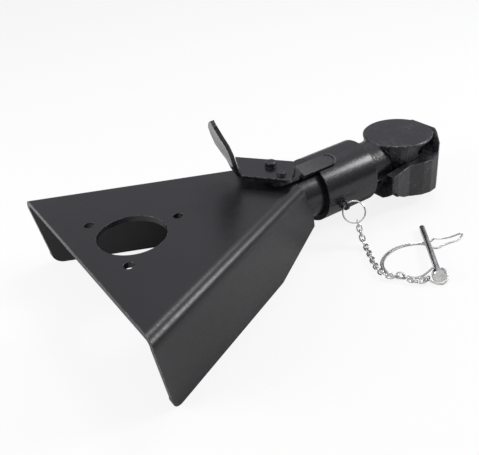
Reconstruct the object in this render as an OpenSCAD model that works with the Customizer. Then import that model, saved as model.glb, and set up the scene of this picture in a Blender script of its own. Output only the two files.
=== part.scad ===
// Collar-lock coupling head for an A-frame trailer tongue, with its lock pin on a chain.
// Pieces are drawn with x from the rear edge, y to the left and z from the ground,
// and then moved so that the centre of the tow ball is the origin.

/* [Frame sheet] */
// Width over the two flanges at the rear edge
rear_w = 310; // [290:1:330]
// Angle of each flange to the centreline
flange_angle = 25; // [24:0.5:26]
// Height of the pressed frame
frame_h = 90; // [84:1:96]
// Thickness of the pressed sheet
sheet_t = 6.35; // [5:0.05:7]
// Outer radius of the two long bends
bend_r = 13; // [10:0.5:16]
// Length of the top of the sheet
top_len = 262; // [250:1:264]
// Distance from the rear edge at which the flange bottoms start to rise
kink_x = 197; // [180:1:215]
// Radius of the lower rear corners
corner_r = 12; // [6:1:18]
// Forward lean of the rear edge of a flange at the ground
rear_rake = 10; // [4:1:16]

/* [Jack mounting] */
// Distance from the rear edge to the jack hole
jack_x = 60; // [52:1:75]
// Radius of the jack hole
jack_r = 36.3; // [30:0.1:38]
// Diameter of the circle of the three bolts
jack_pcd = 108; // [100:1:114]
// Radius of each bolt hole
jack_bolt_r = 5.5; // [4.5:0.1:6.5]

/* [Neck and collar] */
// Height of the neck axis above the ground
axis_z = 55.2; // [53:0.1:57]
// Outer radius of the neck tube
neck_r = 31.3; // [30:0.1:32]
// Wall of the neck tube
neck_wall = 6.35; // [5:0.05:8]
// Rear end of the neck tube
neck_x = 250; // [246:1:254]
// Outer radius of the collar
collar_r = 37.7; // [37:0.1:40]
// Rear end of the collar
collar_x = 285; // [284:1:290]
// Length of the collar
collar_len = 72; // [70:1:74]
// Running gap between the collar and what it slides on
collar_gap = 0.3; // [0.25:0.01:0.4]
// Stroke of the collar when the jaw is released
stroke = 13; // [8:1:13]

/* [Ball socket] */
// Diameter of the tow ball
ball_d = 58.7; // [50:0.1:60]
// Clearance between the ball and its socket
ball_gap = 0.25; // [0.1:0.05:0.5]
// Distance from the rear edge to the ball
ball_x = 425; // [423:1:430]
// Height of the ball's centre above the ground
ball_z = 41; // [39:0.5:43]

/* [Jaws] */
// Radius of the flat round cap
cap_r = 40.9; // [39:0.1:42]
// Height of the top of the cap
cap_z = 82.7; // [81:0.1:84]
// Thickness of the disc of the cap
cap_rim = 3.2; // [2.5:0.1:4]
// Height of the upper jaw's parting face
part_z = 50.2; // [49:0.1:51]
// Gap between the two jaws
jaw_gap = 0.6; // [0.4:0.1:1]
// Half width between the arms of the lower jaw
arm_in = 35.3; // [34.5:0.1:36]
// Half width over the arms of the lower jaw
arm_out = 46; // [45:0.5:47]
// Radius of the wall in front of the ball
front_r = 48.5; // [47:0.5:50]
// Distance of the jaw pivot from the rear edge
hinge_x = 333; // [331:1:334]
// Height of the jaw pivot
hinge_z = 38; // [37:0.5:39]
// Radius of the jaw pivot pin
hinge_r = 5; // [4:0.5:6]
// Radius of the eye of the lower jaw
eye_r = 11; // [10:0.5:11.5]
// Width of the eye of the lower jaw
eye_w = 24; // [20:1:26]
// Running clearance of pins in their bores
fit = 0.05; // [0.02:0.01:0.09]

/* [Latch] */
// Turn of the collar's slot towards the near side, in degrees
collar_roll = 18; // [12:1:20]
// Thickness of the latch bar
bar_t = 4.2; // [3:0.1:5]
// Width of the latch bar
bar_w = 18; // [16:1:20]
// Front end of the latch bar
bar_tip_x = 313; // [310:1:315]
// Height of the joggled rear part of the latch bar above the sheet
bar_lift = 2.6; // [2:0.1:3]
// Gap beside the latch bar in its slot
bar_gap = 0.7; // [0.4:0.1:1]
// Thickness of the latch lever
lever_t = 4.5; // [3:0.1:5]
// Distance of the lever pivot from the rear edge
pivot_x = 237; // [235:1:239]
// Sideways place of the lever pivot
pivot_y = 4; // [3:0.5:5]
// Radius of the pivot bolt
pivot_r = 4.9; // [4:0.1:5]
// Radius of the pivot bolt's head
head_r = 6.3; // [6:0.1:8]
// Height of the pivot bolt's head
head_h = 5; // [4:0.5:6]
// Distance of the crank pin from the rear edge
crank_x = 233; // [232:1:234]
// Sideways place of the crank pin
crank_y = -20; // [-21:0.5:-19]

/* [Tether and lock pin] */
// Mean radius of the split ring
ring_r = 12.5; // [12:0.1:13]
// Radius of the split ring's wire
ring_wire = 0.85; // [0.8:0.05:1.0]
// Length of a chain link over its ends
link_len = 9.8; // [9.4:0.1:10.2]
// Width of a chain link over its sides
link_w = 7; // [6.8:0.1:7.6]
// Radius of the wire of a chain link
link_wire = 0.8; // [0.6:0.05:0.9]
// Length of the lock pin over its head
pin_len = 103.1; // [100:0.1:106]
// Radius of the lock pin
pin_r = 3.15; // [2.8:0.05:3.3]
// Radius of the lock pin's head
pin_head_r = 7.5; // [7:0.1:8]
// Thickness of the lock pin's head
pin_head_t = 6; // [5:0.5:8]
// Radius of the wire of the pin's clip
clip_wire_r = 1.0; // [0.8:0.05:1.1]

/* [Hidden] */
$fn = 72;
link_count = 23;

black = [0.20, 0.20, 0.22];
zinc = [0.75, 0.76, 0.78];
reach = 400;
spare = 1;

neck_end = 299;
seat_gap = 0.1;
shank_x = neck_x + 2;
front_x = collar_x + collar_len;
socket_r = ball_d / 2 + ball_gap;
bend_in = bend_r / cos(flange_angle);
front_cut = collar_x - stroke - 2.5;
bar_low = 35.1;
bar_z = frame_h + bar_lift;
lever_z = bar_z + bar_t + 1.2;
lever_top = lever_z + lever_t;
washer_t = 0.6;
low_z = part_z - jaw_gap;

function half_w(x) = rear_w / 2 - x * tan(flange_angle);

// Moves a piece from the drawing's zero point to the centre of the ball
module at_ball() {
    translate([-ball_x, 0, -ball_z]) children();
}

// Cylinder along x from x0 to x1 on the neck axis
module along_x(x0, x1, r, r2 = 0) {
    translate([x0, 0, axis_z]) rotate([0, 90, 0])
        cylinder(h = x1 - x0, r1 = r, r2 = r2 > 0 ? r2 : r);
}

// Cylinder along y through x, z
module along_y(x, z, w, r) {
    translate([x, w / 2, z]) rotate([90, 0, 0]) cylinder(h = w, r = r);
}

// Side profile in x and z, extruded across the whole width
module side_cut(points, w = reach) {
    translate([0, w / 2, 0]) rotate([90, 0, 0]) linear_extrude(w) polygon(points);
}

// Tube along a path of points: rings of n points, turned so that they don't twist
function unit(v) = v / norm(v);
function tangent(p, i) = unit(p[min(i + 1, len(p) - 1)] - p[max(i - 1, 0)]);
function carry(n, t) = unit(n - (n * t) * t);
function frames(p, n0, i = 0, out = []) =
    i == len(p) ? out : frames(p, carry(n0, tangent(p, i)), i + 1,
                               concat(out, [carry(n0, tangent(p, i))]));
module tube(p, r, up = [0, 0, 1], n = 8) {
    ups = frames(p, up);
    rings = [for (i = [0:len(p) - 1]) let (a = ups[i], b = cross(tangent(p, i), a))
        for (k = [0:n - 1]) p[i] + r * (cos(360 * k / n) * a + sin(360 * k / n) * b)];
    last = (len(p) - 1) * n;
    sides = [for (i = [0:len(p) - 2]) for (k = [0:n - 1]) let (m = (k + 1) % n)
        [i * n + k, (i + 1) * n + k, (i + 1) * n + m, i * n + m]];
    polyhedron(rings, concat(sides, [[for (k = [0:n - 1]) k]],
                             [[for (k = [n - 1:-1:0]) last + k]]));
}

// Smooth curve through points, with a few steps between each two
function spline(p, steps) = [for (i = [0:len(p) - 2]) for (s = [0:steps - 1])
    let (a = p[max(i - 1, 0)], b = p[i], c = p[i + 1], d = p[min(i + 2, len(p) - 1)],
         u = s / steps)
    0.5 * (2 * b + (c - a) * u + (2 * a - 5 * b + 4 * c - d) * u * u
           + (3 * b - a - 3 * c + d) * u * u * u)];

// The pressed sheet: one side of it, on the left of the centreline, from its bent section
module sheet_section() {
    translate([-reach, bend_r - sheet_t]) square([reach, sheet_t]);
    intersection() {
        difference() {
            circle(bend_r);
            circle(bend_r - sheet_t);
        }
        square(bend_r);
    }
    translate([bend_r - sheet_t, bend_r - frame_h]) square([sheet_t, frame_h - bend_r]);
}
module sheet_side() {
    over = 30;
    intersection() {
        translate([0, rear_w / 2 - bend_in, frame_h - bend_r]) rotate([0, 0, -flange_angle])
            translate([-over, 0, 0]) rotate([90, 0, 90]) linear_extrude(reach) sheet_section();
        translate([-over, 0, -spare]) cube([reach, reach, frame_h + 2 * spare]);
    }
}

// Outline of the frame seen from the side, with its raked rear and rising front bottom
function arc(x, z, r, a0, a1, n = 8) =
    [for (i = [0:n]) [x + r * cos(a0 + (a1 - a0) * i / n), z + r * sin(a0 + (a1 - a0) * i / n)]];
front_rise = 26;
front_edge = [[246.5, frame_h + spare], [246.9, 88], [253.3, 70], [261.7, 52.3], [front_cut + spare, 36],
              [320, 36], [320, frame_h + spare]];
front_flat = 24;
relief_back = 7;
relief_near = -25;
relief_w = 24;
relief_deep = 17;
frame_side = concat(
    [[0, frame_h + spare], [0, frame_h - bend_r]],
    arc(rear_rake + corner_r, corner_r, corner_r, 172, 270),
    [[kink_x, 0], [front_cut, front_rise], [top_len, frame_h + spare]]);

module a_frame() at_ball() color(black) difference() {
    intersection() {
        union() {
            sheet_side();
            mirror([0, 1, 0]) sheet_side();
        }
        side_cut(frame_side);
    }
    translate([jack_x, 0, frame_h - sheet_t - spare]) cylinder(h = sheet_t + 2 * spare, r = jack_r);
    for (a = [0, 120, 240])
        translate([jack_x + jack_pcd / 2 * cos(a), jack_pcd / 2 * sin(a), frame_h - sheet_t - spare])
            cylinder(h = sheet_t + 2 * spare, r = jack_bolt_r);
    for (y = [-reach / 2 - front_flat, reach / 2 + front_flat]) translate([0, y, 0]) side_cut(front_edge);
    along_x(neck_x - spare, reach, neck_r + 0.2);
    translate([neck_x - relief_back, relief_near, frame_h - relief_deep])
        cube([reach, relief_w, relief_deep + spare]);
    translate([pivot_x, pivot_y, frame_h - sheet_t - spare])
        cylinder(h = sheet_t + 2 * spare, r = pivot_r + fit);
}

module neck_tube() at_ball() color(black) difference() {
    along_x(neck_x, neck_end, neck_r);
    along_x(neck_x - spare, neck_end + spare, neck_r - neck_wall);
}

// Collar that slides on the neck and closes round both jaws
lock_x = 311;
lock_z = 38.5;
lock_bore = 3.6;
pocket_r = bar_low - 0.2;
slot_end = 300;
slot_w = bar_w / 2 + bar_gap;
// Turns what lies in the slot with the collar
module rolled() {
    translate([0, 0, axis_z]) rotate([collar_roll, 0, 0]) children();
}
module collar() at_ball() color(black) difference() {
    along_x(collar_x, front_x, collar_r);
    along_x(collar_x - spare, front_x + spare, neck_r + collar_gap);
    rolled() {
        translate([collar_x - spare, -slot_w, 0]) cube([slot_end - collar_x + spare, 2 * slot_w, reach]);
        translate([slot_end - spare, -slot_w, pocket_r])
            cube([bar_tip_x - bar_w / 2 - slot_end + spare, 2 * slot_w, reach]);
        translate([bar_tip_x - bar_w / 2, 0, pocket_r]) cylinder(h = reach, r = slot_w);
    }
    along_y(lock_x, lock_z, 3 * collar_r, lock_bore);
}

// Tab welded to the near side of the collar, with a hole for the split ring
lug_x = 304;
lug_y = -41.8;
lug_z = 46;
lug_t = 2.4;
lug_r = 6.2;
lug_bore = 4;
module chain_lug() at_ball() color(black) difference() {
    union() {
        along_lug(lug_r);
        translate([lug_x - lug_t / 2, lug_y, lug_z - lug_r]) cube([lug_t, 8, 2 * lug_r]);
    }
    along_lug(lug_bore);
    along_x(lug_x - lug_t, lug_x + lug_t, collar_r + fit);
}
module along_lug(r) {
    translate([lug_x - lug_t / 2 - (r < lug_r ? spare : 0), lug_y, lug_z]) rotate([0, 90, 0])
        cylinder(h = lug_t + (r < lug_r ? 2 * spare : 0), r = r);
}

// Solid through rings of four points, with two triangles to each side
module loft(rings) {
    n = 4;
    last = (len(rings) - 1) * n;
    polyhedron([for (r = rings) for (p = r) p], concat(
        [for (i = [0:len(rings) - 2]) for (k = [0:n - 1]) let (m = (k + 1) % n)
            each [[(i + 1) * n + m, (i + 1) * n + k, i * n + k], [i * n + m, (i + 1) * n + m, i * n + k]]],
        [[2, 1, 0], [3, 2, 0], [last, last + 1, last + 2], [last, last + 2, last + 3]]));
}
// Latch bar: round tip welded into the collar's slot, joggled rear lug slotted for the crank pin
joggle_x = 262;
joggle_len = 4;
joggle_near = -23.5;
lug_back = 222;
lug_near = -27.5;
lug_far = -5;
lug_chamfer = 4;
bar_slot_r = 4.55;
slot_y0 = crank_y;
slot_y1 = crank_y + 7;
bar_start = joggle_x - joggle_len;
inset = 0.1;
function in_slot(y, z) = [joggle_x + 2, y * cos(collar_roll) - z * sin(collar_roll),
                          axis_z + y * sin(collar_roll) + z * cos(collar_roll)];
module latch_bar() at_ball() color(black) difference() {
    union() {
        rolled() translate([0, 0, bar_low]) {
            translate([bar_tip_x - bar_w / 2, 0, 0]) cylinder(h = bar_t, r = bar_w / 2);
            translate([joggle_x, -bar_w / 2, 0])
                cube([bar_tip_x - bar_w / 2 - joggle_x, bar_w, bar_t]);
        }
        loft([
            [[bar_start - 1, lug_far - inset, bar_z + inset],
             [bar_start - 1, joggle_near, bar_z + inset],
             [bar_start - 1, joggle_near, bar_z + bar_t - inset],
             [bar_start - 1, lug_far - inset, bar_z + bar_t - inset]],
            [in_slot(bar_w / 2 - inset, bar_low + inset),
             in_slot(inset - bar_w / 2, bar_low + inset),
             in_slot(inset - bar_w / 2, bar_low + bar_t - inset),
             in_slot(bar_w / 2 - inset, bar_low + bar_t - inset)]]);
        translate([0, 0, bar_z]) linear_extrude(bar_t) polygon([
            [lug_back, lug_far], [lug_back, lug_near + lug_chamfer], [lug_back + lug_chamfer, lug_near],
            [bar_start - 2 * lug_chamfer, lug_near], [bar_start, joggle_near], [bar_start, lug_far]]);
    }
    for (y = [slot_y0, slot_y1])
        translate([crank_x, y, bar_z - spare]) cylinder(h = bar_t + 2 * spare, r = bar_slot_r);
    translate([crank_x - bar_slot_r, slot_y0, bar_z - spare])
        cube([2 * bar_slot_r, slot_y1 - slot_y0, bar_t + 2 * spare]);
}

// Weld round the bar's tip: it fills the gap of the slot and stands a little proud of both
weld_rise = 1.2;
weld_side = 1.5;
module bar_weld() at_ball() color(black) rolled() translate([bar_tip_x - bar_w / 2, 0, 0])
    rotate([0, 0, -80]) rotate_extrude(angle = 160) polygon([
        [bar_w / 2 + fit, bar_low + 1], [slot_w - fit, bar_low + 1], [slot_w - fit, bar_low + bar_t + 0.3],
        [bar_w / 2, bar_low + bar_t + weld_rise], [bar_w / 2 - weld_side, bar_low + bar_t + weld_rise - 0.3],
        [bar_w / 2 - weld_side, bar_low + bar_t + fit], [bar_w / 2 + fit, bar_low + bar_t + fit]]);

// Lever: plate with a broad twisted handle bent up from its rear corner
plate = [[199.7, 7.8], [229.1, -32.7], [231.6, -35.1], [234.2, -35.2], [245.9, -24.5],
         [255.6, -14.6], [261.2, -8.6], [262, -6.2], [261.2, -4], [220.8, 50.1]];
// Sections of the handle above the plate's underside: near and far rear corner, up to the tip
grip = [
    [[204, 9, 0.2], [210, 24, 0.2]],
    [[198.2, 8.4, 1.6], [201.5, 22, 3.5]],
    [[195, 8.5, 5.5], [197.6, 23.5, 8]],
    [[192.5, 8.6, 14.9], [199.5, 34, 13.5]],
    [[190.8, 8.8, 21.4], [199.1, 42, 18.5]],
    [[189, 9, 30.3], [195.5, 49, 29.6]],
    [[184.8, 9, 42.3], [191.2, 50, 44]],
    [[180.1, 9.2, 51.8], [187.8, 47, 53.2]],
    [[175.9, 9.5, 61], [183.9, 39, 61.4]],
    [[173.6, 12, 68], [180.7, 31, 66.6]],
    [[174.4, 17, 70.8], [178.5, 25, 69.6]]];
grip_t = 4.3;
function grip_rise(i) = unit((grip[min(i + 1, len(grip) - 1)][0] + grip[min(i + 1, len(grip) - 1)][1])
                             - (grip[max(i - 1, 0)][0] + grip[max(i - 1, 0)][1]));
function grip_ring(i) = let (a = grip[i][0], b = grip[i][1],
                             n = grip_t * unit(cross(b - a, i == 0 ? [-1, 0.3, 0.6] : grip_rise(i))))
    [a, b, b + n, a + n];
module latch_lever() at_ball() color(black) difference() {
    union() {
        translate([0, 0, lever_z]) linear_extrude(lever_t) polygon(plate);
        translate([0, 0, lever_z]) loft([for (i = [0:len(grip) - 1]) grip_ring(i)]);
    }
    translate([pivot_x, pivot_y, lever_z - spare]) cylinder(h = lever_t + 2 * spare, r = pivot_r + fit);
    translate([crank_x, crank_y, lever_z - spare])
        cylinder(h = lever_t + 2 * spare, r = crank_r + seat_gap / 5);
}

crank_r = 3.9;
crank_low = frame_h + 1;
module crank_pin() at_ball() color(black) translate([crank_x, crank_y, 0]) {
    translate([0, 0, crank_low]) cylinder(h = lever_top - crank_low + 0.5, r = crank_r);
    translate([0, 0, lever_top + fit]) cylinder(h = 3.5, r1 = 5.2, r2 = 4.4);
}

bolt_low = frame_h - 31;
module pivot_bolt() at_ball() color(black) translate([pivot_x, pivot_y, 0]) {
    translate([0, 0, bolt_low]) cylinder(h = lever_top + 2 - bolt_low, r = pivot_r);
    translate([0, 0, lever_top + washer_t + 2 * fit]) cylinder(h = head_h - 1, r = head_r);
    translate([0, 0, lever_top + washer_t + 2 * fit + head_h - 1])
        cylinder(h = 1, r1 = head_r, r2 = head_r - 1);
}

// Flat ring round the pivot bolt
module ring_at(z, h, r, bore) {
    translate([pivot_x, pivot_y, z]) difference() {
        cylinder(h = h, r = r);
        translate([0, 0, -spare]) cylinder(h = h + 2 * spare, r = bore);
    }
}
module pivot_washer() at_ball() color(black) ring_at(lever_top + fit, washer_t, 7.2, pivot_r + fit);
module pivot_spacer() at_ball() color(black) ring_at(frame_h + fit, lever_z - frame_h - 2 * fit, 6.4,
                                                      pivot_r + fit);
spring_low = frame_h - 20;
module lower_washer() at_ball() color(black) ring_at(spring_low - 1.5, 1.4, 8.6, pivot_r + fit);
module pivot_nut() at_ball() color(black) translate([pivot_x, pivot_y, spring_low - 8.6])
    difference() {
        cylinder(h = 7, r = 8, $fn = 6);
        translate([0, 0, -spare]) cylinder(h = 7 + 2 * spare, r = pivot_r + fit, $fn = 48);
    }

// Spring that keeps the lever pressed on its spacer
coil_r = 7.1;
coil_wire = 1.1;
coil_turns = 4;
module pivot_spring() at_ball() color(zinc) {
    rise = frame_h - sheet_t - spring_low - 2 * coil_wire - 0.3;
    steps = 64;
    translate([pivot_x, pivot_y, spring_low + coil_wire + 0.1]) tube(
        [for (i = [0:steps]) let (a = 360 * coil_turns * i / steps)
            [coil_r * cos(a), coil_r * sin(a), rise * i / steps]], coil_wire, n = 6);
}

// Upper jaw: shank, neck, cap and the socket wall behind the ball
notch_x = hinge_x - eye_r - 0.5;
cheek_r = 12.5;
wall_z = 35;
disc_z = cap_z - cap_rim;
upper_side = [
    [front_x - 20, low_z - spare], [front_x - 20, part_z], [374, part_z], [380, wall_z],
    [ball_x, wall_z], [ball_x, 69], [453, 76.5], [464, disc_z], [ball_x + cap_r + spare, disc_z],
    [ball_x + cap_r + spare, cap_z + spare], [384, cap_z + spare], [front_x, 88], [front_x - 20, 88]];
upper_half = [
    [386, 10], [391, 21], [400, 31.5], [407, 34.8], [422, 34.8], [452, 29.5], [460, 17.5], [464, 0]];
function both_sides(p) = concat(p, [for (i = [len(p) - 1:-1:0]) if (p[i][1] > 0) [p[i][0], -p[i][1]]]);
module upper_jaw() at_ball() color(black) difference() {
    union() {
        along_x(shank_x, neck_end + spare, neck_r - neck_wall - seat_gap);
        along_x(neck_end + seat_gap, front_x + 6, neck_r);
        intersection() {
            side_cut(upper_side);
            union() {
                translate([ball_x, 0, disc_z]) cylinder(h = cap_rim - 1.2, r = cap_r);
                translate([ball_x, 0, cap_z - 1.2]) cylinder(h = 1.2, r1 = cap_r, r2 = cap_r - 1.2);
                along_x(front_x - spare, 390, neck_r, 26.5);
                linear_extrude(cap_z - 2) polygon(both_sides(upper_half));
            }
        }
    }
    translate([ball_x, 0, ball_z]) sphere(r = socket_r);
    translate([ball_x, 0, 0]) cylinder(h = ball_z, r = socket_r);
    translate([notch_x, -eye_w / 2 - 0.3, 0]) cube([reach, eye_w + 0.6, part_z]);
    difference() {
        translate([hinge_x, -reach / 2, 0]) cube([374 - hinge_x, reach, part_z]);
        along_y(hinge_x, hinge_z, reach, cheek_r);
    }
    along_y(hinge_x, hinge_z, reach, hinge_r + fit);
    along_y(lock_x, lock_z, reach, lock_bore);
}

// Lower jaw: eye, waist inside the collar, yoke with two arms, and the wall before the ball
waist_r = 22.2;
waist_end = 351;
block_r = 13.5;
arm_x = 373.5;
plan_half = [
    [hinge_x, 31], [arm_x, 31], [arm_x, arm_out - 1], [arm_x + 1, arm_out],
    [382, arm_out], [404, 42.6], [411, 44.5], [422, 47.5], [434, front_r], [446, front_r - 2],
    [457, 38], [467, 24], [474, 10], [475.5, 0]];
lower_side = [
    [hinge_x, axis_z - 32], [arm_x, axis_z - 32], [arm_x + 3, 29], [385, 27], [395, 21.5], [407, 18.2],
    [420, 16.5], [436, 15.5], [462, 16.5], [472, 25], [477, 62], [475, 76], [470, 79.5], [461, 73],
    [446, 62], [440, 60], [404, 60], [arm_x, 56.6], [front_x + 9, 56], [front_x + 9, low_z],
    [hinge_x, low_z]];
// Rounded underside of the crossbar, seen along the neck
arm_under = [
    [0, 0], [60, 0], [60, 46], [arm_out, 35], [41.5, 30], [37, 27], [31, 23.5], [20, 22.4], [0, 22.2]];
module lower_jaw() at_ball() color(black) difference() {
    union() {
        along_y(hinge_x, hinge_z, eye_w, eye_r);
        translate([hinge_x, -eye_w / 2, 33.4]) cube([12, eye_w, low_z - 33.4]);
        intersection() {
            side_cut(lower_side);
            linear_extrude(frame_h) polygon(both_sides(plan_half));
            union() {
                along_x(hinge_x, waist_end, waist_r);
                along_x(waist_end, waist_end + 3, waist_r, 24.9);
                along_x(waist_end + 3, front_x + 1, 24.9, neck_r - 0.3);
                along_x(front_x + 1, arm_x + 1, neck_r - 0.3);
                translate([arm_x, -reach / 2, 0]) cube([reach, reach, frame_h]);
            }
        }
    }
    difference() {
        along_y(hinge_x, hinge_z, reach, block_r);
        translate([hinge_x - block_r - spare, -eye_w / 2, 0]) cube([2 * block_r + 2 * spare, eye_w, frame_h]);
    }
    along_y(hinge_x, hinge_z, reach, hinge_r + fit);
    side_cut([
        [front_x + 5, frame_h], [front_x + 5, low_z], [arm_x - 0.3, low_z], [379.2, wall_z - jaw_gap],
        [383, wall_z - jaw_gap], [383, -spare], [ball_x + 2, -spare], [ball_x + 2, frame_h]], 2 * arm_in);
    translate([ball_x, 0, ball_z]) sphere(r = socket_r);
    translate([ball_x, 0, ball_z]) cylinder(h = 60, r = socket_r + 0.4);
    for (flip_y = [0, 1]) mirror([0, flip_y, 0]) translate([front_x + 5, 0, 0]) rotate([90, 0, 90])
        linear_extrude(19) polygon(arm_under);
    cylinder_mouth();
    translate([ball_x, 0, 60.5]) cylinder(h = 40, r = cap_r + 1);
}

mouth_r = 21;
module cylinder_mouth() {
    translate([ball_x, 0, 0]) cylinder(h = ball_z, r = mouth_r);
    translate([ball_x, 0, 14]) cylinder(h = 6, r1 = mouth_r + 6, r2 = mouth_r);
}

module jaw_pin() at_ball() color(zinc)
    along_y(hinge_x, hinge_z, 2 * sqrt(pow(neck_r, 2) - pow(axis_z - hinge_z + hinge_r, 2)), hinge_r);

// Split ring hanging in the staple, with its plane tipped towards the ground
ring_n = unit([0.5855, 0.6225, -0.5193]);
ring_c = [308.2, -51.4, 39.2];
function ring_side(n) = unit(cross(n, [0, 0, 1]));
module key_ring() at_ball() color(zinc) translate(ring_c) {
    a = ring_side(ring_n);
    b = cross(ring_n, a);
    steps = 36;
    turns = 1.94;
    tube([for (i = [0:steps]) let (t = 360 * turns * i / steps)
        ring_r * (cos(t) * a + sin(t) * b) + ring_n * (2.05 * ring_wire * (i / steps - 0.5) * turns)],
        ring_wire, up = ring_n, n = 6);
}

// Run of the chain: it hangs from the ring, crosses the clip twice and ends on one of its strands
route = [
    [306.6, -58.7, 31], [307.6, -61, 22], [308.8, -62.6, 14.5], [309, -65.5, 8], [308, -70.3, 4],
    [303.1, -80.1, 2.95], [297.4, -90.7, 2.95], [291.7, -100.7, 2.95], [287, -111.2, 3.6],
    [283.4, -121.4, 5.1], [284.4, -128, 5.1], [288.2, -132.4, 5], [293.3, -133.2, 4.6],
    [297, -135.4, 4.65], [297.2, -140.2, 5.4], [296.8, -145.4, 5.5], [298.6, -150.3, 4.3],
    [302.6, -154.2, 3.5], [308.4, -156, 3.6], [315, -156.3, 3.6]];
line = concat(spline(route, 6), [route[len(route) - 1]]);
function sums(p, i = 0, t = 0, out = []) =
    i == len(p) ? out : sums(p, i + 1, t + (i + 1 < len(p) ? norm(p[i + 1] - p[i]) : 0), concat(out, [t]));
along = sums(line);
total = along[len(along) - 1];
function place(s, i = 1) = i == len(line) - 1 || along[i] >= s
    ? line[i - 1] + (line[i] - line[i - 1]) * (s - along[i - 1]) / (along[i] - along[i - 1])
    : place(s, i + 1);
// The first links turn to hang on the ring, the last ones to stand round the wire
function link_roll(i) = (i % 2 == 0 ? 45 : -45) + 14 * max(0, 4 - i) / 3 - 15 * max(0, i - link_count + 3);
module chain_link(i) at_ball() color(zinc) {
    from = place(total * (i - 1) / link_count);
    to = place(total * i / link_count);
    d = unit(to - from);
    bow = link_w / 2 - link_wire;
    half = link_len / 2 - link_wire - bow;
    translate((from + to) / 2) rotate([0, 0, atan2(d[1], d[0])]) rotate([0, -asin(d[2]), 0])
        rotate([link_roll(i), 0, 0]) for (s = [0, 180]) rotate([0, 0, s]) {
            translate([half, 0, 0]) rotate([0, 0, -90]) rotate_extrude(angle = 180, $fn = 24)
                translate([bow, 0]) circle(link_wire, $fn = 16);
            translate([-half, bow, 0]) rotate([0, 90, 0]) cylinder(h = 2 * half, r = link_wire, $fn = 16);
        }
}

// Lock pin lying on its head and on the clip
pin_face = [318.6, -167];
pin_way = 52.5;
pin_head_z = pin_head_r + 2 * clip_wire_r + 0.1;
pin_tail_z = 4.5;
pin_dip = asin((pin_head_z - pin_tail_z) / pin_len);
hole_at = 16;
module on_pin() {
    translate([pin_face[0], pin_face[1], pin_head_z]) rotate([0, 0, pin_way]) rotate([0, pin_dip, 0])
        rotate([0, 90, 0]) children();
}
module lock_pin() at_ball() color(zinc) on_pin() difference() {
    union() {
        cylinder(h = 0.8, r1 = pin_head_r - 0.8, r2 = pin_head_r);
        translate([0, 0, 0.8]) cylinder(h = pin_head_t - 0.8, r = pin_head_r);
        translate([0, 0, pin_head_t]) cylinder(h = pin_len - pin_head_t - 1.2, r = pin_r);
        translate([0, 0, pin_len - 1.2]) cylinder(h = 1.2, r1 = pin_r, r2 = pin_r - 1);
    }
    translate([0, 0, hole_at]) rotate([90, 0, 0])
        cylinder(h = 4 * pin_r, r = clip_wire_r + 2 * fit, center = true, $fn = 32);
}

// Wire clip: from the pin's cross hole round a double loop to an open eye, and back
hole_c = [pin_face[0] + hole_at * cos(pin_way), pin_face[1] + hole_at * sin(pin_way),
          pin_head_z - hole_at * sin(pin_dip)];
cross_dir = [sin(pin_way), -cos(pin_way), 0];
clip_z = clip_wire_r + 0.05;
strand = 1.15;
loop_mid = [[304.6, -143.3], [297.2, -136.5], [292.7, -129.5], [291.2, -122.5], [292.9, -114.9],
            [297.8, -107], [305.2, -101], [315.9, -96.2], [327.1, -94.2], [337.4, -94.6],
            [349.2, -98.2], [360.2, -105.5]];
function offset_path(p, s) = [for (i = [0:len(p) - 1])
    let (t = unit(p[min(i + 1, len(p) - 1)] - p[max(i - 1, 0)]))
    [p[i][0] - s * t[1], p[i][1] + s * t[0], clip_z]];
eye_path = [[369.4, -108.8, clip_z], [377.7, -107.3, clip_z], [383.4, -112, clip_z],
            [393, -116.5, clip_z], [405.8, -118.3, clip_z], [407.2, -121, clip_z],
            [403.6, -123.1, clip_z], [394, -126, clip_z], [378.1, -122.7, clip_z],
            [366, -122.5, clip_z], [362, -116, clip_z]];
function flip(p) = [for (i = [len(p) - 1:-1:0]) p[i]];
clip_path = concat(
    [hole_c - 0.4 * cross_dir, hole_c - 3.4 * cross_dir, hole_c - 4.6 * cross_dir,
     [319.5, -150.6, 5.6], [313.5, -148.6, 2.3]],
    offset_path(loop_mid, strand), eye_path, flip(offset_path(loop_mid, -strand)),
    [[310.6, -149, 1.6], [313, -152.4, 2.9], [313.6, -156.2, 2.95], [314.3, -160.5, 1.9],
     [316.6, -166, clip_z], [321.5, -170.3, clip_z + 0.2], [328.5, -168.8, 3.2], [333.6, -162.5, 6.9],
     hole_c + 4.6 * cross_dir, hole_c + 3.4 * cross_dir, hole_c + 0.4 * cross_dir]);
module clip_wire() at_ball() color(zinc) tube(concat(spline(clip_path, 3), [clip_path[len(clip_path) - 1]]),
                                              clip_wire_r, n = 8);

a_frame();
neck_tube();
upper_jaw();
lower_jaw();
jaw_pin();
collar();
chain_lug();
latch_bar();
bar_weld();
latch_lever();
crank_pin();
pivot_bolt();
pivot_washer();
pivot_spacer();
lower_washer();
pivot_spring();
pivot_nut();
key_ring();
lock_pin();
clip_wire();
for (i = [1:link_count])
    chain_link(i);
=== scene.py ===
import math

import bpy
import numpy as np
from mathutils import Matrix, Vector


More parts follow.
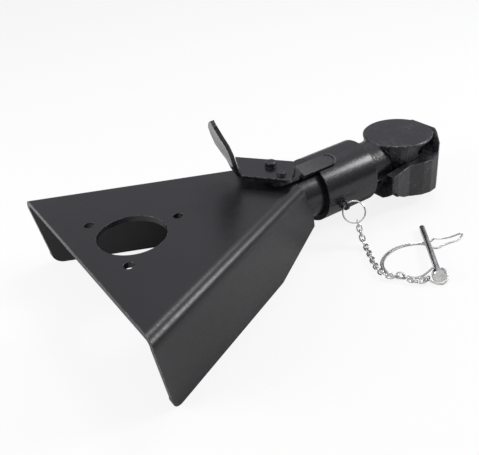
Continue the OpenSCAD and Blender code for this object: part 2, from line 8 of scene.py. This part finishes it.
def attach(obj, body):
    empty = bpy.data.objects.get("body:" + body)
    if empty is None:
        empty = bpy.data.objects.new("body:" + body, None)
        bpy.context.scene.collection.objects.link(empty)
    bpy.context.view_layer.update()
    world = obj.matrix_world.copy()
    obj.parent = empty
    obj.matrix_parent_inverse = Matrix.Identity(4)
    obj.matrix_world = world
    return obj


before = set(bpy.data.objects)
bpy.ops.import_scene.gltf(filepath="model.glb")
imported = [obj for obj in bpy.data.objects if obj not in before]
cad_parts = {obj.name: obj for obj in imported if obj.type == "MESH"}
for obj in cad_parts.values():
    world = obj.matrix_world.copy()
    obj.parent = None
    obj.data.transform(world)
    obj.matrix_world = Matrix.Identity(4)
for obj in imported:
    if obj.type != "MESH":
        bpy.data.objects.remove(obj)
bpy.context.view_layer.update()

# ---- Camera ----
# The photograph's viewpoint: behind and above the near side of the coupling head.
# The lens and the shift come from a fit of the frame's straight edges and round holes; they are
# given in pixels of the photograph, with the place in metres in the row frame.
PHOTO_W, PHOTO_H = 479, 455
FOCAL_PX, CENTRE_X_PX, CENTRE_Y_PX = 670.43, 189.47, 222.08
SENSOR_MM = 36.0
CAMERA_PLACE = (-0.57293, -0.53628, 0.40272)
YAW, PITCH, ROLL = (math.radians(a) for a in (62.933, -31.315, -7.618))
look = np.array([math.cos(YAW) * math.cos(PITCH), math.sin(YAW) * math.cos(PITCH), math.sin(PITCH)])
level = np.array([math.sin(YAW), -math.cos(YAW), 0.0])
above = np.cross(level, look)
right = level * math.cos(ROLL) + above * math.sin(ROLL)
upward = above * math.cos(ROLL) - level * math.sin(ROLL)
lens = bpy.data.cameras.new("photo_camera")
lens.sensor_width = SENSOR_MM
lens.lens = FOCAL_PX * SENSOR_MM / PHOTO_W
lens.shift_x = (PHOTO_W / 2 - CENTRE_X_PX) / PHOTO_W
lens.shift_y = (CENTRE_Y_PX - PHOTO_H / 2) / PHOTO_W
lens.clip_start = 0.01
camera = bpy.data.objects.new("photo_camera", lens)
bpy.context.scene.collection.objects.link(camera)
pose = Matrix.Identity(4)
for row in range(3):
    pose[row][0], pose[row][1], pose[row][2] = right[row], upward[row], -look[row]
pose.translation = Vector(CAMERA_PLACE)
camera.matrix_world = pose
bpy.context.scene.camera = camera
bpy.context.scene.view_settings.view_transform = "Standard"


# ---- Pressed sheet, chain lug and lower washer ----
# Polyester powder baked on shot-blasted steel. It gives a deep satin black with a fine orange
# peel, cloudy patches where the coat is thicker, and grey along the outer edges and hole rims, which is
# partly rub marks and partly a painted highlight.
def linear(code, alpha=1.0):
    """Hex sRGB colour as linear light: each channel c becomes ((c + 0.055) / 1.055) to the 2.4,
    or c / 12.92 where it is very dark."""
    out = []
    for k in (1, 3, 5):
        c = int(code[k:k + 2], 16) / 255
        out.append(c / 12.92 if c <= 0.04045 else ((c + 0.055) / 1.055) ** 2.4)
    return (*out, alpha)


def add(tree, kind, settings=None, links=None):
    """Adds one node, sets its properties and inputs by name or number, and links its inputs to sockets."""
    node = tree.nodes.new(kind)
    for key, value in (settings or {}).items():
        if isinstance(key, int) or key in node.inputs:
            node.inputs[key].default_value = value
        else:
            setattr(node, key, value)
    for key, socket in (links or {}).items():
        tree.links.new(socket, node.inputs[key])
    return node


def new_material(name):
    """An empty node material and its tree."""
    material = bpy.data.materials.new(name)
    material.use_nodes = True
    material.node_tree.nodes.clear()
    return material, material.node_tree


def coat(name, colour, thick, rough, rough_spread, peel_mm, peel_um, lump_mm, lump_um, wear_and_glint,
         pits_um=0, specks=0.0, soft_mm=0.9):
    """A black coat on steel. The colour runs between two hex values with a cloud of about 60 mm.
    The height is an orange peel of peel_mm and peel_um plus lumps of lump_mm and lump_um, which are
    what the steel beneath brings. Convex edges, found by a bevelled normal, turn grey in patches: partly wear
    of the coat and partly a painted highlight on the edges. Pits of pits_um are the hollows of a cell pattern
    of about
    3 mm, where a second cloud allows them, and specks is how far their raised rims turn grey: partly wear and
    partly a painted highlight on the pit edges."""
    material, tree = new_material(name)
    place = add(tree, "ShaderNodeTexCoord").outputs["Object"]
    cloud = add(tree, "ShaderNodeTexNoise", {"Scale": 16.0, "Detail": 4.0, "Roughness": 0.55},
                {"Vector": place})
    peel = add(tree, "ShaderNodeTexNoise", {"Scale": 1000.0 / peel_mm, "Detail": 1.5}, {"Vector": place})
    lump = add(tree, "ShaderNodeTexNoise", {"Scale": 1000.0 / lump_mm, "Detail": 3.0, "Roughness": 0.6},
               {"Vector": place})
    dust = add(tree, "ShaderNodeTexNoise", {"Scale": 420.0, "Detail": 2.0}, {"Vector": place})
    spread = add(tree, "ShaderNodeMapRange", {"From Min": 0.32, "From Max": 0.68},
                 {"Value": cloud.outputs["Fac"]})
    base = add(tree, "ShaderNodeMix", {"data_type": "RGBA", 6: linear(colour), 7: linear(thick)},
               {0: spread.outputs[0]})
    scuff = add(tree, "ShaderNodeTexNoise", {"Scale": 260.0, "Detail": 3.0, "Roughness": 0.7},
                {"Vector": place})
    round_off = add(tree, "ShaderNodeBevel", {"samples": 4, "Radius": soft_mm * 0.001})
    flat = add(tree, "ShaderNodeNewGeometry")
    away = add(tree, "ShaderNodeVectorMath", {"operation": "DOT_PRODUCT"},
               {0: round_off.outputs[0], 1: flat.outputs["Normal"]})
    rim = add(tree, "ShaderNodeMapRange", {"From Min": 0.995, "From Max": 0.90, "To Min": 0.0, "To Max": 1.0},
              {"Value": away.outputs["Value"]})
    patch = add(tree, "ShaderNodeMapRange",
                {"From Min": 0.44, "From Max": 0.60, "To Min": 0.0, "To Max": wear_and_glint},
                {"Value": scuff.outputs["Fac"]})
    edge = add(tree, "ShaderNodeMath", {"operation": "MULTIPLY"}, {0: rim.outputs[0], 1: patch.outputs[0]})
    cells = add(tree, "ShaderNodeTexVoronoi", {"Scale": 330.0, "Randomness": 1.0}, {"Vector": place})
    hollow = add(tree, "ShaderNodeMapRange",
                 {"From Min": 0.16, "From Max": 0.34, "To Min": 0.0, "To Max": 1.0},
                 {"Value": cells.outputs["Distance"]})
    where = add(tree, "ShaderNodeTexNoise", {"Scale": 62.0, "Detail": 3.0, "Roughness": 0.7},
                {"Vector": place})
    zone = add(tree, "ShaderNodeMapRange", {"From Min": 0.50, "From Max": 0.60},
               {"Value": where.outputs["Fac"]})
    unpitted = add(tree, "ShaderNodeMath", {"operation": "SUBTRACT", 0: 1.0}, {1: zone.outputs[0]})
    pit = add(tree, "ShaderNodeMath", {"operation": "MAXIMUM"},
              {0: hollow.outputs[0], 1: unpitted.outputs[0]})
    lip = add(tree, "ShaderNodeMapRange", {"From Min": 0.34, "From Max": 0.42, "To Min": 1.0, "To Max": 0.0},
              {"Value": cells.outputs["Distance"]})
    ring = add(tree, "ShaderNodeMath", {"operation": "MULTIPLY"}, {0: lip.outputs[0], 1: hollow.outputs[0]})
    seen = add(tree, "ShaderNodeMath", {"operation": "MULTIPLY"}, {0: ring.outputs[0], 1: zone.outputs[0]})
    # Grey specks on the raised pit rims: partly wear of the coat, partly a painted highlight on the pit
    # edges.
    speck = add(tree, "ShaderNodeMath", {"operation": "MULTIPLY", 1: specks}, {0: seen.outputs[0]})
    # Grey on convex edges and pit rims: partly wear of the coat, partly a painted highlight.
    rub_and_glint = add(tree, "ShaderNodeMath", {"operation": "MAXIMUM"},
                 {0: edge.outputs[0], 1: speck.outputs[0]})
    colour_out = add(tree, "ShaderNodeMix", {"data_type": "RGBA", 7: linear("#8b8b90")},
                     {0: rub_and_glint.outputs[0], 6: base.outputs[2]})
    rough_out = add(tree, "ShaderNodeMapRange",
                    {"From Min": 0.3, "From Max": 0.7, "To Min": rough - rough_spread,
                     "To Max": rough + rough_spread}, {"Value": dust.outputs["Fac"]})
    low = add(tree, "ShaderNodeBump", {"Strength": 1.0, "Distance": lump_um * 1e-6},
              {"Height": lump.outputs["Fac"], "Normal": round_off.outputs[0]})
    pocked = add(tree, "ShaderNodeBump", {"Strength": 1.0, "Distance": pits_um * 1e-6},
                 {"Height": pit.outputs[0], "Normal": low.outputs[0]})
    fine = add(tree, "ShaderNodeBump", {"Strength": 1.0, "Distance": peel_um * 1e-6},
               {"Height": peel.outputs["Fac"], "Normal": pocked.outputs[0]})
    shader = add(tree, "ShaderNodeBsdfPrincipled", {"IOR": 1.5}, {"Base Color": colour_out.outputs[2],
                 "Roughness": rough_out.outputs[0], "Normal": fine.outputs[0]})
    add(tree, "ShaderNodeOutputMaterial", {}, {"Surface": shader.outputs[0]})
    return material


# The edge grey is set high on the sheet: on its cut edges and hole rims it is partly rub marks and partly a
# painted highlight.
sheet_coat = coat(
    "satin_black_powder_coat", colour="#0f0f12", thick="#161619", rough=0.34, rough_spread=0.05,
    peel_mm=1.8, peel_um=13, lump_mm=24.0, lump_um=160, wear_and_glint=0.8)
for node in ("a_frame", "chain_lug", "lower_washer"):
    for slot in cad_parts[node].material_slots:
        slot.material = sheet_coat

# ---- Neck tube, collar and latch bar ----
# Turned tube and smooth cold-rolled flat steel under the same powder, so the coat lies
# glossier and shows a long streak of light.
tube_coat = coat(
    "gloss_black_powder_coat", colour="#0f0f12", thick="#151518", rough=0.24, rough_spread=0.04,
    peel_mm=2.8, peel_um=5, lump_mm=30.0, lump_um=60, wear_and_glint=0.6)
for node in ("neck_tube", "collar", "latch_bar"):
    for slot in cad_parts[node].material_slots:
        slot.material = tube_coat

# ---- Latch lever ----
# Blanked from plate, its handle bent up and twisted in a press, then coated: its edges are
# broadly rounded. The modifier shades the handle smooth and keeps folds over 43 degrees crisp.
lever_coat = coat(
    "hand_polished_black_coat", colour="#101013", thick="#18181b", rough=0.23, rough_spread=0.05,
    peel_mm=2.2, peel_um=6, lump_mm=20.0, lump_um=60, wear_and_glint=0.7, soft_mm=2.4)
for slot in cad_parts["latch_lever"].material_slots:
    slot.material = lever_coat
FOLD = 0.75
soften = bpy.data.node_groups.new("soften_handle", "GeometryNodeTree")
soften.interface.new_socket("Geometry", in_out="INPUT", socket_type="NodeSocketGeometry")
soften.interface.new_socket("Geometry", in_out="OUTPUT", socket_type="NodeSocketGeometry")
joined = add(soften, "GeometryNodeMergeByDistance", {"Distance": 1e-6},
             {"Geometry": add(soften, "NodeGroupInput").outputs[0]})
bare = add(soften, "GeometryNodeRemoveAttribute", {"Name": "custom_normal"}, {"Geometry": joined.outputs[0]})
soft = add(soften, "GeometryNodeSetShadeSmooth", {"domain": "FACE"}, {"Geometry": bare.outputs[0]})
fold = add(soften, "GeometryNodeInputMeshEdgeAngle")
sharp = add(soften, "FunctionNodeCompare", {"data_type": "FLOAT", "operation": "GREATER_THAN", 1: FOLD},
            {0: fold.outputs[0]})
crisp = add(soften, "GeometryNodeSetShadeSmooth", {"domain": "EDGE", "Shade Smooth": False},
            {"Geometry": soft.outputs[0], "Selection": sharp.outputs[0]})
add(soften, "NodeGroupOutput", {}, {0: crisp.outputs[0]})
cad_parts["latch_lever"].modifiers.new("soften_handle", "NODES").node_group = soften

# ---- Jaws ----
# Drop-forged steel, shot blasted and powder coated: the same black over scale pits and dents,
# so the flats look mottled and the edges are soft and turn grey, partly wear and partly a painted highlight;
# the grey specks on the pit rims are likewise partly wear and partly a painted highlight.
forged_coat = coat(
    "black_coated_forging", colour="#0e0e11", thick="#16161a", rough=0.33, rough_spread=0.07,
    peel_mm=2.6, peel_um=60, lump_mm=8.0, lump_um=620, wear_and_glint=0.6, pits_um=330, specks=0.22, soft_mm=2.0)
for node in ("upper_jaw", "lower_jaw"):
    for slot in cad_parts[node].material_slots:
        slot.material = forged_coat

# ---- Bolt, washer, spacer, nut and pins of the latch ----
# Small turned and cold-headed steel parts, coated with the rest: a thinner black with bright
# rubbed edges where the lever turns against them.
hardware_coat = coat(
    "black_coated_hardware", colour="#101013", thick="#1a1a1e", rough=0.32, rough_spread=0.06,
    peel_mm=1.2, peel_um=18, lump_mm=6.0, lump_um=40, wear_and_glint=1.0)
for node in ("pivot_bolt", "pivot_washer", "pivot_spacer", "pivot_nut", "crank_pin"):
    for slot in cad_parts[node].material_slots:
        slot.material = hardware_coat

# ---- Weld at the tip of the latch bar ----
# A short arc weld with its ripples left as laid, blasted and coated: small scales across the bead.
weld_coat = coat(
    "black_coated_weld", colour="#1a1a1d", thick="#2a2a2e", rough=0.32, rough_spread=0.08,
    peel_mm=1.0, peel_um=60, lump_mm=2.2, lump_um=500, wear_and_glint=0.9)
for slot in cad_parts["bar_weld"].material_slots:
    slot.material = weld_coat


# ---- Tether, lock pin and clip: bright zinc plate ----
# Zinc plated steel wire and bar: a pale, bright metal, duller in patches and slightly uneven.
# The hidden jaw pin and the spring are plain turned and drawn steel.
def bright_metal(name, bright, dull, rough, grain_mm, dent_um):
    """A plated or bare metal. The colour runs between two hex values with a patchy noise, and the
    roughness with a finer one; a shallow noise of grain_mm dents the surface by dent_um."""
    material, tree = new_material(name)
    place = add(tree, "ShaderNodeTexCoord").outputs["Object"]
    patch = add(tree, "ShaderNodeTexNoise", {"Scale": 140.0, "Detail": 3.0}, {"Vector": place})
    grain = add(tree, "ShaderNodeTexNoise", {"Scale": 1000.0 / grain_mm, "Detail": 2.0}, {"Vector": place})
    share = add(tree, "ShaderNodeMapRange", {"From Min": 0.38, "From Max": 0.66},
                {"Value": patch.outputs["Fac"]})
    colour = add(tree, "ShaderNodeMix", {"data_type": "RGBA", 6: linear(bright), 7: linear(dull)},
                 {0: share.outputs[0]})
    rough_map = add(tree, "ShaderNodeMapRange", {"From Min": 0.3, "From Max": 0.7, "To Min": rough - 0.06,
                    "To Max": rough + 0.09}, {"Value": grain.outputs["Fac"]})
    bump = add(tree, "ShaderNodeBump", {"Strength": 1.0, "Distance": dent_um * 1e-6},
               {"Height": grain.outputs["Fac"]})
    shader = add(tree, "ShaderNodeBsdfPrincipled", {"Metallic": 1.0},
                 {"Base Color": colour.outputs[2], "Roughness": rough_map.outputs[0],
                  "Normal": bump.outputs[0]})
    add(tree, "ShaderNodeOutputMaterial", {}, {"Surface": shader.outputs[0]})
    return material


zinc_plate = bright_metal(
    "bright_zinc_plate", bright="#dcdcda", dull="#b9b9b6", rough=0.20, grain_mm=1.4, dent_um=9)
turned_steel = bright_metal(
    "plain_turned_steel", bright="#a9a8a4", dull="#8c8a86", rough=0.38, grain_mm=1.0, dent_um=10)
for node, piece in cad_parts.items():
    if node.startswith("chain_link") or node in ("key_ring", "lock_pin", "clip_wire"):
        for slot in piece.material_slots:
            slot.material = zinc_plate
    if node in ("jaw_pin", "pivot_spring"):
        for slot in piece.material_slots:
            slot.material = turned_steel

# ---- Weld between the neck and the frame ----
# A fillet weld laid round the neck where it leaves the sheet, in overlapping ripples; it is
# blasted and coated with the rest. It follows the slanted front edge of the sheet, in metres
# from the rear edge and from the ground.
AXIS_Z, NECK_R = 0.0142, 0.0313
BALL_X, AXIS_UP = 0.425, 0.0552
SHEET_FRONT_Z = [0.036, 0.0523, 0.070, 0.088]
SHEET_FRONT_X = [0.2705, 0.2617, 0.2533, 0.2469]
NECK_BEAD_AHEAD = 0.0008
NECK_BEAD_STEPS, NECK_BEAD_RIPPLES = 110, 17
NECK_BEAD_HALF_W, NECK_BEAD_RISE = 0.0024, 0.0017


def bead_mesh(name, centre, out, along, radius, height, ripples):
    """A weld bead as a tube carried along a path: its centres, the outward and the cross direction at
    each, and a half-round section whose size swells with a saw-toothed wave for each ripple."""
    count, sides = len(centre), 10
    step = np.linspace(0.0, 1.0, count)
    wave = (step * ripples) % 1.0
    swell = (0.86 + 0.22 * np.sqrt(wave)) * np.clip(np.minimum(step, 1 - step) * 30, 0.25, 1.0)
    turn = np.linspace(0.0, 2 * np.pi, sides, endpoint=False)
    ring = (np.cos(turn)[None, :, None] * along[:, None, :] * radius
            + np.sin(turn)[None, :, None] * out[:, None, :] * height)
    points = centre[:, None, :] + ring * swell[:, None, None]
    base = np.arange(count - 1)[:, None] * sides
    k = np.arange(sides)[None, :]
    after = (k + 1) % sides
    quads = np.stack([base + k, base + sides + k, base + sides + after, base + after], axis=-1).reshape(-1, 4)
    first = list(range(sides))
    last = [(count - 1) * sides + s for s in reversed(range(sides))]
    faces = quads.tolist() + [first, last]
    mesh = bpy.data.meshes.new(name)
    mesh.from_pydata(points.reshape(-1, 3).tolist(), [], faces)
    mesh.polygons.foreach_set("use_smooth", np.ones(len(faces), bool))
    mesh.update()
    piece = bpy.data.objects.new(name, mesh)
    bpy.context.scene.collection.objects.link(piece)
    return piece


def cross_of(centre, out):
    """The direction across a bead: the path's own direction crossed with the outward one."""
    across = np.cross(np.gradient(centre, axis=0), out)
    return across / np.linalg.norm(across, axis=1)[:, None]


for side, name in ((-1.0, "near_neck_weld"), (1.0, "far_neck_weld")):
    level_z = np.linspace(0.0785, 0.0435, NECK_BEAD_STEPS)
    height = level_z - AXIS_UP
    wander = 0.00025 * np.sin(np.linspace(0, 19, NECK_BEAD_STEPS))
    front = np.interp(level_z, SHEET_FRONT_Z, SHEET_FRONT_X)
    sideways = side * np.sqrt(NECK_R ** 2 - height ** 2)
    centre = np.stack([front + NECK_BEAD_AHEAD + wander - BALL_X, sideways, height + AXIS_Z], axis=1)
    out = np.stack([np.zeros(NECK_BEAD_STEPS), sideways, height], axis=1) / NECK_R
    bead = bead_mesh(name, centre, out, cross_of(centre, out), NECK_BEAD_HALF_W, NECK_BEAD_RISE,
                     NECK_BEAD_RIPPLES)
    bead.data.materials.append(weld_coat)
    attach(bead, "frame")

# ---- Weld that holds the chain lug ----
# A small round bead each side of the lug where it stands on the collar; coated with it.
COLLAR_R, LUG_X, LUG_HALF_T = 0.0377, 0.304 - BALL_X, 0.0017
LUG_BEAD_STEPS, LUG_BEAD_RIPPLES = 30, 5
LUG_BEAD_HALF_W, LUG_BEAD_RISE = 0.0013, 0.0011
for side, name in ((-1.0, "lug_weld_rear"), (1.0, "lug_weld_front")):
    ringed = np.linspace(0.0398, 0.0522, LUG_BEAD_STEPS) - AXIS_UP
    sideways = -np.sqrt(COLLAR_R ** 2 - ringed ** 2)
    centre = np.stack([np.full(LUG_BEAD_STEPS, LUG_X + side * LUG_HALF_T), sideways, ringed + AXIS_Z], axis=1)
    out = np.stack([np.zeros(LUG_BEAD_STEPS), sideways, ringed], axis=1) / COLLAR_R
    bead = bead_mesh(name, centre, out, cross_of(centre, out), LUG_BEAD_HALF_W, LUG_BEAD_RISE,
                     LUG_BEAD_RIPPLES)
    bead.data.materials.append(weld_coat)
    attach(bead, "collar_body")


# ---- Floor, backdrop and studio light ----
# A pale floor and surround that show white to the camera. What the metal mirrors is pale too,
# brighter overhead than at the horizon, like a tent lit from its top. Three soft boxes add
# the streaks: one low on the right, one overhead and one to the left.
GROUND, GROUND_GAP = -0.041, 0.0002
bpy.ops.mesh.primitive_plane_add(size=60.0, location=(0, 0, GROUND - GROUND_GAP))
floor = bpy.context.object
floor.name = "studio_floor"
pale, tree = new_material("matt_pale_floor")
shader = add(tree, "ShaderNodeBsdfDiffuse", {"Color": linear("#f4f4f4")})
glow = add(tree, "ShaderNodeEmission", {"Color": linear("#fafafa"), "Strength": 1.06})
ray = add(tree, "ShaderNodeLightPath")
shade = add(tree, "ShaderNodeMixShader", {0: 0.84}, {1: shader.outputs[0], 2: glow.outputs[0]})
mix = add(tree, "ShaderNodeMixShader", {}, {0: ray.outputs["Is Camera Ray"], 1: shader.outputs[0],
          2: shade.outputs[0]})
add(tree, "ShaderNodeOutputMaterial", {}, {"Surface": mix.outputs[0]})
floor.data.materials.append(pale)

world = bpy.data.worlds.new("studio")
bpy.context.scene.world = world
world.use_nodes = True
tree = world.node_tree
tree.nodes.clear()
ray = add(tree, "ShaderNodeLightPath")
seen = add(tree, "ShaderNodeBackground", {"Color": linear("#fafafa"), "Strength": 1.0})
toward = add(tree, "ShaderNodeTexCoord")
parts = add(tree, "ShaderNodeSeparateXYZ", {}, {0: toward.outputs["Generated"]})
overhead = add(tree, "ShaderNodeMapRange",
               {"From Min": -0.05, "From Max": 0.95, "To Min": 0.16, "To Max": 1.05},
               {"Value": parts.outputs["Z"]})
mirrored = add(tree, "ShaderNodeBackground", {"Color": linear("#f1f0f9")}, {"Strength": overhead.outputs[0]})
light = add(tree, "ShaderNodeBackground", {"Color": linear("#f6f5fb"), "Strength": 0.34})
metal = add(tree, "ShaderNodeMixShader", {}, {0: ray.outputs["Is Glossy Ray"], 1: light.outputs[0],
            2: mirrored.outputs[0]})
mix = add(tree, "ShaderNodeMixShader", {}, {0: ray.outputs["Is Camera Ray"], 1: metal.outputs[0],
          2: seen.outputs[0]})
add(tree, "ShaderNodeOutputWorld", {}, {"Surface": mix.outputs[0]})


def soft_box(name, place, aim, size, power):
    """A square area lamp at a place, turned towards a point."""
    lamp = bpy.data.lights.new(name, "AREA")
    lamp.shape = "SQUARE"
    lamp.size = size
    lamp.energy = power
    holder = bpy.data.objects.new(name, lamp)
    bpy.context.scene.collection.objects.link(holder)
    holder.location = place
    holder.rotation_euler = (Vector(aim) - Vector(place)).to_track_quat("-Z", "Y").to_euler()


soft_box("right_box", (0.88, -0.58, 0.84), (-0.25, -0.1, 0), 0.4, 9)
soft_box("top_box", (0.35, 0.30, 1.35), (-0.15, 0, 0), 0.45, 5)
soft_box("left_box", (-1.5, 0.3, 0.6), (-0.2, 0, 0.05), 0.8, 13)
